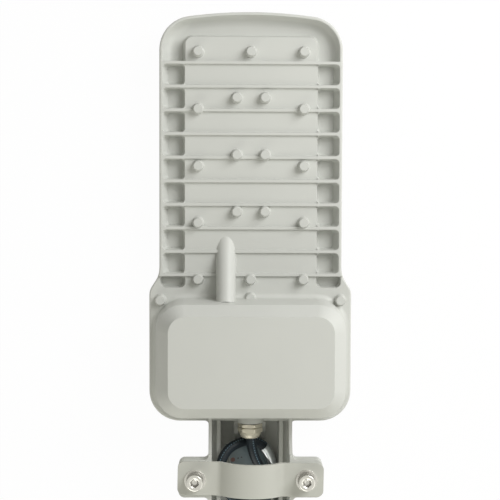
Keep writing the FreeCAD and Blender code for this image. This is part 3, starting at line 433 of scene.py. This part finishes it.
def earth_core():
    """Green insulation with a yellow stripe."""
    f = Finish("core_green_yellow", GREEN_CORE, 0.42)
    stripe = f.node("TexWave", {"bands_direction": "X"},
                    {"Vector": f.place(), "Scale": 160.0, "Distortion": 0.0}, "Fac")
    f.feed("Base Color", f.blend(stripe > 0.6, GREEN_BAND, YELLOW_BAND))
    f.relief(f.noise(1500.0, 2.0), 0.01 * MM)
    return f.material


def floor_white():
    """Pale floor that shows as white to the camera and through clear surfaces."""
    f = Finish("floor", FLOOR_WHITE, 0.9)
    seen = (f.node("LightPath", output="Is Camera Ray")
            + f.node("LightPath", output="Is Transmission Ray"))
    glow = f.node("Emission", {}, {"Color": (1, 1, 1, 1), "Strength": 1.0})
    lit = Socket(f, f.shader.outputs[0])
    mixed = f.node("MixShader", {}, {0: FLOOR_GLOW * (seen > 0.5), 1: lit, 2: glow})
    f.link(f.tree.nodes["Material Output"].inputs["Surface"], mixed)
    return f.material


# mesh building
def circle_angles(count):
    return [2 * math.pi * i / count for i in range(count)]


def rings_about(start, axis, profile, count, turn=0.0):
    """Rings round an axis from (height, radius) in mm; a radius may be a function of the angle."""
    swing = Vector((0, 0, 1)).rotation_difference(axis)
    rings = []
    for height, radius in profile:
        ring = []
        for angle in circle_angles(count):
            r = radius(angle) if callable(radius) else radius
            flat = Vector((r * math.cos(angle + turn), r * math.sin(angle + turn), height)) * MM
            ring.append(start + swing @ flat)
        rings.append(ring)
    return rings


def skin(rings, loop=False):
    """Vertices and faces over the rings, capped at both ends or closed as a loop."""
    count = len(rings[0])
    vertices = [p for ring in rings for p in ring]
    faces = []
    total = len(rings)
    for j in range(total if loop else total - 1):
        a, b = j * count, ((j + 1) % total) * count
        for i in range(count):
            k = (i + 1) % count
            faces.append((a + i, a + k, b + k, b + i))
    if not loop:
        faces.append(tuple(reversed(range(count))))
        faces.append(tuple(range((total - 1) * count, total * count)))
    return vertices, faces


def piece(name, parts, materials, sharp=35.0):
    """Object from (vertices, faces) parts, one material to each part; sharp is in degrees."""
    vertices, faces, slots = [], [], []
    for i, (points, loops) in enumerate(parts):
        base = len(vertices)
        vertices += points
        faces += [tuple(base + k for k in loop) for loop in loops]
        slots += [min(i, len(materials) - 1)] * len(loops)
    mesh = bpy.data.meshes.new(name)
    mesh.from_pydata(vertices, [], faces)
    for material in materials:
        mesh.materials.append(material)
    mesh.polygons.foreach_set("material_index", slots)
    mesh.polygons.foreach_set("use_smooth", [True] * len(mesh.polygons))
    mesh.update()
    mesh.set_sharp_from_angle(angle=math.radians(sharp))
    obj = bpy.data.objects.new(name, mesh)
    bpy.context.scene.collection.objects.link(obj)
    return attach(obj, "root")


def hexagon(across_flats):
    """Radius of a hexagon at an angle, with a flat at angle 0."""
    sixth = math.pi / 3
    return lambda angle: across_flats / 2 / math.cos((angle + sixth / 2) % sixth - sixth / 2)


def chamfered_hexagon(across_flats, limit):
    """Hexagon whose corners are turned off at a limiting radius."""
    side = hexagon(across_flats)
    return lambda angle: min(side(angle), limit)


def knurl(radius):
    """Radius of a ring of rounded teeth at an angle."""
    return lambda angle: radius - KNURL_DEPTH / 2 * (1 - math.cos(KNURL_TEETH * angle))


def rounded_square(size, cut):
    """Radius of a square at an angle, with its corners cut back along the diagonal."""
    half = size / 2
    limit = half * math.sqrt(2) - cut
    return lambda angle: min(half / max(abs(math.cos(angle)), abs(math.sin(angle))), limit)


def thread(radius, pitch, low, high):
    """Profile of a cut thread, from a chamfered end upwards."""
    profile = [(low, POLE_R), (low, radius - 0.6 * pitch), (low + 0.5 * pitch, radius)]
    height = low + pitch
    while height < high:
        profile += [(height, radius - 0.55 * pitch), (height + 0.5 * pitch, radius)]
        height += pitch
    return profile


# the supply lead and what is on it
def route_points():
    """Points along the lead's smooth line, read from its spline."""
    curve = bpy.data.curves.new("lead_route", "CURVE")
    curve.dimensions = "3D"
    spline = curve.splines.new("NURBS")
    spline.points.add(len(LEAD_ROUTE) - 1)
    for point, place in zip(spline.points, LEAD_ROUTE):
        point.co = (*at(*place), 1.0)
    spline.order_u = 3
    spline.use_endpoint_u = True
    spline.resolution_u = 36
    holder = bpy.data.objects.new("lead_route", curve)
    line = bpy.data.meshes.new_from_object(holder)
    points = [v.co.copy() for v in line.vertices]
    bpy.data.objects.remove(holder)
    bpy.data.curves.remove(curve)
    bpy.data.meshes.remove(line)
    return points


def frames_along(points):
    """Position, two cross directions and distance for each point of a line."""
    tangents = []
    for i in range(len(points)):
        ahead = points[min(i + 1, len(points) - 1)]
        behind = points[max(i - 1, 0)]
        tangents.append((ahead - behind).normalized())
    across = tangents[0].orthogonal().normalized()
    frames = []
    distance = 0.0
    for i, tangent in enumerate(tangents):
        if i:
            across = tangents[i - 1].rotation_difference(tangent) @ across
            distance += (points[i] - points[i - 1]).length
        frames.append((points[i], across, tangent.cross(across), distance))
    return frames


def tube_rings(frames, radius, count):
    """Rings round a line; radius is a function of the distance along it, in mm."""
    rings = []
    for centre, u, v, distance in frames:
        r = radius(distance / MM) * MM
        ring = []
        for angle in circle_angles(count):
            ring.append(centre + u * (r * math.cos(angle)) + v * (r * math.sin(angle)))
        rings.append(ring)
    return rings


def jacket_radius(distance):
    return LEAD_R - JACKET_RIPPLE * (1 + math.cos(2 * math.pi * distance / JACKET_PITCH)) / 2


def supply_lead(frames):
    """Rubber lead with a row of small pale dots along its jacket: painted highlights, on the side
    that faces the key lamp.
    """
    rings = tube_rings(frames, jacket_radius, LEAD_SIDES)
    marks = moulded("jacket_painted_glints", GLINT_BLUE, 0.4)
    lead = piece("supply_lead", [skin(rings)], [lead_jacket(), marks], sharp=60.0)
    start = min(range(len(frames)), key=lambda j: abs(frames[j][3] - GLINT_START * MM))
    centre = frames[start][0]
    # the painted highlights go along the column that faces the key lamp
    column = max(range(LEAD_SIDES), key=lambda i: (rings[start][i] - centre).dot(GLINT_TOWARD))
    for j in range(start, len(frames) - 1):
        if (frames[j][3] / MM) % GLINT_PITCH < GLINT_L:
            lead.data.polygons[j * LEAD_SIDES + column].material_index = 1
    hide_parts("supply_cable")
    return lead


def lead_cores(frames):
    """Three stripped cores with their ferrules."""
    end, along = frames[-1][0], (frames[-1][0] - frames[-2][0]).normalized()
    across = Vector((0, 0, 1)).cross(along).normalized()
    up = along.cross(across)
    core = ((-0.5, CORE_R), (CORE_L - 0.2, CORE_R), (CORE_L, CORE_R - 0.2))
    collar = ((CORE_L - 2.2, 0.9), (CORE_L - 2.2, 1.1), (CORE_L + 0.2, 1.1), (CORE_L + 0.5, 0.8))
    crimp = ((CORE_L + FERRULE_L - 0.2, 0.75), (CORE_L + FERRULE_L, 0.6))
    cores, ferrules = [], []
    for i in range(3):
        angle = math.radians(90 + 120 * i)
        start = end + (across * math.cos(angle) + up * math.sin(angle)) * CORE_OFFSET * MM
        cores.append(skin(rings_about(start, along, core, CORE_SIDES)))
        ferrules.append(skin(rings_about(start, along, collar + crimp, CORE_SIDES)))
    brown = moulded("core_brown", BROWN_CORE, 0.42)
    blue = moulded("core_blue", BLUE_CORE, 0.42)
    bundle = piece("lead_cores", cores, [brown, blue, earth_core()])
    tips = piece("core_ferrules", ferrules, [plated("tinned", TIN, 0.3)])
    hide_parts("cable_end")
    return [bundle, tips]


def label_ends():
    """Lower and upper end of the label's run on the lead."""
    high, middle, low = [at(*place) for place in LABEL_RUN]
    return (middle + low) / 2, high


def label_sleeve(frames):
    """Film wrapped once round the lead."""
    low_y = label_ends()[0].y
    second_half = frames[len(frames) // 2:]
    run = [f for f in second_half if low_y < f[0].y < LABEL_TOP_Y * MM and f[0].x > 0]
    outer = tube_rings(run, lambda distance: LEAD_R + LABEL_T, LABEL_SIDES)
    inner = tube_rings(run, lambda distance: LEAD_R + LABEL_FIT, LABEL_SIDES)
    return skin(outer + inner[::-1], loop=True)


def label_flag():
    """Flag of the film: a thin sheet that bows a little as it reaches under the loop."""
    low, high = label_ends()
    high += FLAG_TOP_SHIFT
    low += (low - high) * ((low.y - FLAG_LOW_Y * MM) / (high.y - low.y))
    normal = (high - low).normalized().cross(FLAG_REACH).normalized()
    drop = Vector((0, 0, -1)) * ((LEAD_R + LABEL_T) * MM / abs(normal.z))
    across, along = FLAG_CELLS
    sheets = []
    for lift in (0.0, FLAG_T * MM):
        points = []
        for i in range(across + 1):
            s = i / across
            for j in range(along + 1):
                t = j / along
                bow = FLAG_BOW * MM * math.sin(math.pi * s) * math.sin(math.pi * (0.2 + 0.6 * t))
                rise = Vector((0, 0, bow + lift))
                points.append(low + (high - low) * t + FLAG_REACH * s + drop + rise)
        sheets.append(points)
    return sheet_faces(sheets, across, along)


def sheet_faces(sheets, across, along):
    """Closed thin sheet from its lower and upper grids of points."""
    width = along + 1
    base = len(sheets[0])
    faces = []
    for i in range(across):
        for j in range(along):
            a = i * width + j
            faces.append((a, a + 1, a + 1 + width, a + width))
            faces.append((a + base, a + width + base, a + 1 + width + base, a + 1 + base))
    rim = [i * width for i in range(across + 1)]
    rim += [across * width + j for j in range(1, along + 1)]
    rim += [i * width + along for i in range(across - 1, -1, -1)]
    rim += list(range(along - 1, 0, -1))
    for k, a in enumerate(rim):
        b = rim[(k + 1) % len(rim)]
        faces.append((a, b, b + base, a + base))
    return sheets[0] + sheets[1], faces


def lead_label(frames):
    """The sleeve round the lead and its flag, as one piece."""
    films = [silver_film(), flag_film(at(*FLAG_DOT))]
    label = piece("lead_label", [label_sleeve(frames), label_flag()], films, sharp=50.0)
    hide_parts("cable_label")
    return label


# clamp hardware
def head_profile():
    """Profile of a socket screw from its plain shank over the head and down its hexagon socket."""
    r, h = BOLT_HEAD_R, BOLT_HEAD_H
    shank = BOLT_R - 0.1
    socket = hexagon(HEX_KEY_AF)
    profile = [(-2.5, shank), (-0.4, shank), (0.0, BOLT_R + 0.3)]
    profile += [(0.0, r - 0.5), (0.5, r - 0.05), (0.8, knurl(r)), (h - 1.7, knurl(r))]
    profile += [(h - below, r - inset) for below, inset in BOLT_HEAD_EDGE]
    profile += [(h, 3.75), (h - 0.1, 3.6), (h - 0.4, socket), (h - 4.0, socket)]
    profile += [(h - 4.4, 2.0), (h - 4.8, POLE_R)]
    return profile


def clamp_bolt(side, x):
    """Socket screw; its knurl and hexagon socket are a little duller than the turned faces and much
    darker, as painted shade.
    """
    at_head = at(x, BOLT_Y, STRAP_TOP_Z + FLAT_WASHER_T + SPRING_WASHER_T)
    profile = thread(BOLT_R, BOLT_PITCH, -BOLT_L, -4.0) + head_profile()
    steel = bright_steel("turned_steel_" + side, TURNED_STEEL, 0.17, at_head, 0.94)
    shaded_steel = bright_steel("painted_shade_steel_" + side, SHADE_STEEL, 0.22, at_head, 0.94)
    turn = math.radians(BOLT_TURN)
    rings = rings_about(at_head, Vector((0, 0, 1)), profile, BOLT_SIDES, turn)
    bolt = piece("clamp_screw_" + side, [skin(rings)], [steel, shaded_steel], sharp=40.0)
    # the knurl band and the hexagon socket take the darker steel: painted shade
    for j, (_, radius) in enumerate(profile[:-1]):
        if callable(radius):
            for i in range(BOLT_SIDES):
                bolt.data.polygons[j * BOLT_SIDES + i].material_index = 1
    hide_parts("clamp_bolt_" + side)
    return steel, shaded_steel


def split_washer(side, x, steel):
    """Spring washer: one turn of square wire whose ends stand a little apart in height."""
    centre = at(x, BOLT_Y, STRAP_TOP_Z + FLAT_WASHER_T)
    inner, outer = SPRING_WASHER_BORE_R, SPRING_WASHER_R
    edge = 0.15
    rings = []
    for i in range(SPRING_WASHER_STEPS + 1):
        share = i / SPRING_WASHER_STEPS
        angle = math.radians(SPRING_WASHER_GAP / 2 + (360 - SPRING_WASHER_GAP) * share)
        rise = SPRING_WASHER_RISE * (share - 0.5)
        low = SPRING_WASHER_INSET + rise
        high = SPRING_WASHER_T - SPRING_WASHER_INSET + rise
        section = ((inner, low + edge), (inner + edge, low), (outer - edge, low), (outer, low + edge),
                   (outer, high - edge), (outer - edge, high), (inner + edge, high),
                   (inner, high - edge))
        x_way, y_way = math.cos(angle), math.sin(angle)
        rings.append([centre + Vector((r * x_way, r * y_way, z)) * MM for r, z in section])
    # the washer is drawn in the darker steel passed in: painted shade
    washer = piece("split_washer_" + side, [skin(rings)], [steel], sharp=30.0)
    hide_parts("spring_washer_" + side)


# cable gland
def gland_skin(profile, count, turn):
    """Skin of a gland piece that is open along its bore; turn is in degrees."""
    start = at(0, GLAND_BOSS_Y, GLAND_Z)
    rings = rings_about(start, Vector((0, -1, 0)), profile, count, math.radians(turn))
    return skin(rings, loop=True)


def gland_hexagon():
    """The hexagon's full form, its chamfered edge and the radius of its round rim."""
    flat = GLAND_AF / 2
    full = chamfered_hexagon(GLAND_AF, GLAND_AF / math.sqrt(3) - 0.25)
    edge = chamfered_hexagon(GLAND_AF, flat + 0.75)
    return full, edge, flat + 0.15


def gland_base(nickel):
    """Body of the gland: thread, hexagon, a groove under the nut and the nut's neck."""
    full, edge, rim = gland_hexagon()
    foot, top = GLAND_RING_T, GLAND_BODY_L
    profile = thread(GLAND_THREAD_R, GLAND_THREAD_PITCH, -GLAND_THREAD_L, -1.5)
    profile[0] = (-GLAND_THREAD_L, GLAND_BORE_R)
    profile += [(-0.8, GLAND_THREAD_R - 0.6), (foot, GLAND_THREAD_R - 0.6)]
    profile += [(foot + 0.02, rim), (foot + 0.3, edge), (foot + 0.6, full)]
    profile += [(top - 0.7, full), (top - 0.35, edge), (top, rim)]
    profile += [(top, GLAND_GROOVE_R), (top + 0.3, GLAND_GROOVE_R), (top + 0.3, GLAND_NECK_R)]
    profile += [(top + 3.8, GLAND_NECK_R - 0.1), (top + 3.8, GLAND_BORE_R)]
    outline = gland_skin(profile, GLAND_SIDES, GLAND_TURN - 30.0)
    base = piece("gland_base", [outline], [nickel], sharp=28.0)
    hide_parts("gland_body")


def gland_ring(rubber):
    """Thin ring between the body's hexagon and the casting's boss."""
    inner, outer, top = GLAND_THREAD_R + 0.1, GLAND_AF / 2, GLAND_RING_T
    profile = ((0.02, inner), (0.02, outer - 0.1), (0.3, outer + 0.1),
               (top - 0.02, outer - 0.1), (top - 0.02, inner))
    washer = piece("gland_ring", [gland_skin(profile, GLAND_RING_SIDES, 0.0)], [rubber])


def gland_cap(nickel):
    """Dome nut: a hexagon, then a dome that narrows to the lead."""
    full, edge, rim = gland_hexagon()
    low = GLAND_BODY_L + 0.4
    high = GLAND_BODY_L + GLAND_NUT_L
    top = high + GLAND_DOME_L
    inside = GLAND_NECK_R + 0.05
    profile = [(low, inside), (low, rim), (low + 0.3, edge), (low + 0.6, full)]
    profile += [(high - 0.7, full), (high - 0.3, edge), (high, rim - 0.2), (high + 0.1, 8.8)]
    profile += [(high + share * GLAND_DOME_L, radius) for share, radius in GLAND_DOME]
    profile += [(top, GLAND_MOUTH_R), (high + 0.2, GLAND_MOUTH_R), (high + 0.2, inside)]
    outline = gland_skin(profile, GLAND_SIDES, GLAND_TURN - 30.0)
    nut = piece("gland_cap", [outline], [nickel], sharp=28.0)
    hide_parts("gland_nut")


# light sources
def chip_centres():
    centres = []
    for i in range(CHIP_COLUMNS):
        for j in range(CHIP_ROWS):
            x = (i - (CHIP_COLUMNS - 1) / 2) * CHIP_PITCH_X
            y = CHIP_MIDDLE_Y + (j - (CHIP_ROWS - 1) / 2) * CHIP_PITCH_Y
            centres.append((x, y))
    return centres


def light_sources(package):
    """White packages with a slightly crowned phosphor window facing down."""
    outer = rounded_square(CHIP_SIZE, 0.45)
    lip = rounded_square(CHIP_SIZE - 0.7, 0.5)
    window = rounded_square(CHIP_SIZE - 1.0, 0.5)
    shell = ((0.0, outer), (CHIP_H - 0.2, outer), (CHIP_H - 0.05, lip), (CHIP_H - 0.05, window),
             (CHIP_H - 0.25, window), (CHIP_H - 0.25, POLE_R))
    crown = ((CHIP_H - 0.24, window), (CHIP_H - 0.16, rounded_square(CHIP_SIZE - 1.3, 0.5)),
             (CHIP_H - 0.06, rounded_square(2.2, 0.4)), (CHIP_H - 0.04, POLE_R))
    down = Vector((0, 0, -1))
    shells, windows = [], []
    for x, y in chip_centres():
        start = at(x, y, CHIP_Z)
        shells.append(skin(rings_about(start, down, shell, CHIP_SIDES)))
        windows.append(skin(rings_about(start, down, crown, CHIP_SIDES)))
    packages = piece("source_packages", shells, [package])
    glow = piece("source_windows", windows, [phosphor()], sharp=60.0)
    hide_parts("led_chips")


# studio
def camera():
    """Camera above the middle of the head, tilted a little, as the product was seen."""
    data = bpy.data.cameras.new("camera")
    data.lens = CAMERA_LENS
    data.sensor_width = CAMERA_SENSOR
    data.clip_end = CAMERA_FAR
    obj = bpy.data.objects.new("camera", data)
    obj.location = at(*CAMERA_PLACE)
    obj.rotation_euler = [math.radians(a) for a in CAMERA_TURN]
    bpy.context.scene.collection.objects.link(obj)
    bpy.context.scene.camera = obj


def softbox(name, size, watts, colour, azimuth, elevation, distance):
    """Square lamp aimed at the middle of the head; the azimuth runs from +X towards +Y."""
    turn, rise = math.radians(azimuth), math.radians(elevation)
    level = math.cos(rise)
    toward = Vector((math.cos(turn) * level, math.sin(turn) * level, math.sin(rise)))
    data = bpy.data.lights.new(name, "AREA")
    data.shape = "SQUARE"
    data.size = size
    data.energy = watts
    data.color = colour
    obj = bpy.data.objects.new(name, data)
    obj.location = at(*LAMPS_AIM) + toward * distance
    obj.rotation_euler = (-toward).to_track_quat("-Z", "Y").to_euler()
    bpy.context.scene.collection.objects.link(obj)


def floor():
    half = FLOOR_HALF
    z = -AXIS_Z * MM
    corners = [(-half, -half, z), (half, -half, z), (half, half, z), (-half, half, z)]
    mesh = bpy.data.meshes.new("floor")
    mesh.from_pydata(corners, [], [(0, 1, 2, 3)])
    mesh.materials.append(floor_white())
    obj = bpy.data.objects.new("floor", mesh)
    bpy.context.scene.collection.objects.link(obj)


def sky():
    """Soft even light; the camera sees it as white, and shiny surfaces as a pale grey."""
    world = bpy.data.worlds.new("studio")
    world.use_nodes = True
    tree = world.node_tree
    path = tree.nodes.new("ShaderNodeLightPath")
    level = tree.nodes.new("ShaderNodeMapRange")
    tree.links.new(path.outputs["Is Glossy Ray"], level.inputs["Value"])
    level.inputs["To Min"].default_value = SKY_LEVEL
    level.inputs["To Max"].default_value = SHINE_LEVEL
    strength = tree.nodes.new("ShaderNodeMath")
    strength.operation = "MAXIMUM"
    tree.links.new(level.outputs[0], strength.inputs[0])
    tree.links.new(path.outputs["Is Camera Ray"], strength.inputs[1])
    tree.links.new(strength.outputs[0], tree.nodes["Background"].inputs["Strength"])
    tree.nodes["Background"].inputs["Color"].default_value = (*WARM_WHITE, 1.0)
    bpy.context.scene.world = world


def studio():
    """Lamps, floor and sky."""
    for lamp in LAMPS:
        softbox(*lamp)
    floor()
    sky()
    bpy.context.scene.view_settings.view_transform = "Standard"


def dress(nodes, names, material):
    """Gives the named nodes of the CAD one finish."""
    for name in names:
        nodes[name].data.materials.clear()
        nodes[name].data.materials.append(material)


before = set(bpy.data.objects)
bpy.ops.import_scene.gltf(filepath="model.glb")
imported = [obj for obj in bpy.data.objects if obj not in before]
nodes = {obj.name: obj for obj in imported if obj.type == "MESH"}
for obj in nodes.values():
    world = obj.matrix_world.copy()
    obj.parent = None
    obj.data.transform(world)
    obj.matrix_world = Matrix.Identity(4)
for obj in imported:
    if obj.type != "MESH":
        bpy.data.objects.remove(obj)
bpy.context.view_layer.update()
camera()

line = route_points()
frames = frames_along(line)
lead = supply_lead(frames)
label = lead_label(frames)
lead_cores(frames) + [label]

dress(nodes, ["housing", "gear_cover"], powder_coat("grey_coat", GREY_COAT, 0.5 * MM))
# the strap's darker coat is painted shade
dress(nodes, ["clamp_strap"], powder_coat("strap_coat", STRAP_GREY_SHADED, 0.5 * MM))
nickel = plated("nickelled_brass", NICKEL, 0.36, 0.6)
rubber = moulded("black_rubber", BLACK_RUBBER, 0.6)
gland_base(nickel)
gland_ring(rubber)
gland_cap(nickel)
dress(nodes, ["gland_locknut"], nickel)
dress(nodes, ["gland_seal"], rubber)
for side, x in (("left", -BOLT_X), ("right", BOLT_X)):
    steel, shaded_steel = clamp_bolt(side, x)
    split_washer(side, x, shaded_steel)
    dress(nodes, ["flat_washer_" + side, "clamp_nut_" + side], steel)
screw_steel = bright_steel("screw_steel", SCREW_STEEL, 0.25, Vector((0, 0, 0)))
dress(nodes, ["lens_screws", "board_screws", "cover_screws", "tray_screws"], screw_steel)
dress(nodes, ["lens_panel"], clear_optic())
dress(nodes, ["led_board"], solder_mask())
light_sources(moulded("source_white", SOURCE_WHITE, 0.4))
for names, name, colour, roughness in MOULDINGS:
    dress(nodes, names, moulded(name, colour, roughness))
for names, name, colour, roughness in SHEETS:
    dress(nodes, names, plated(name, colour, roughness))
studio()
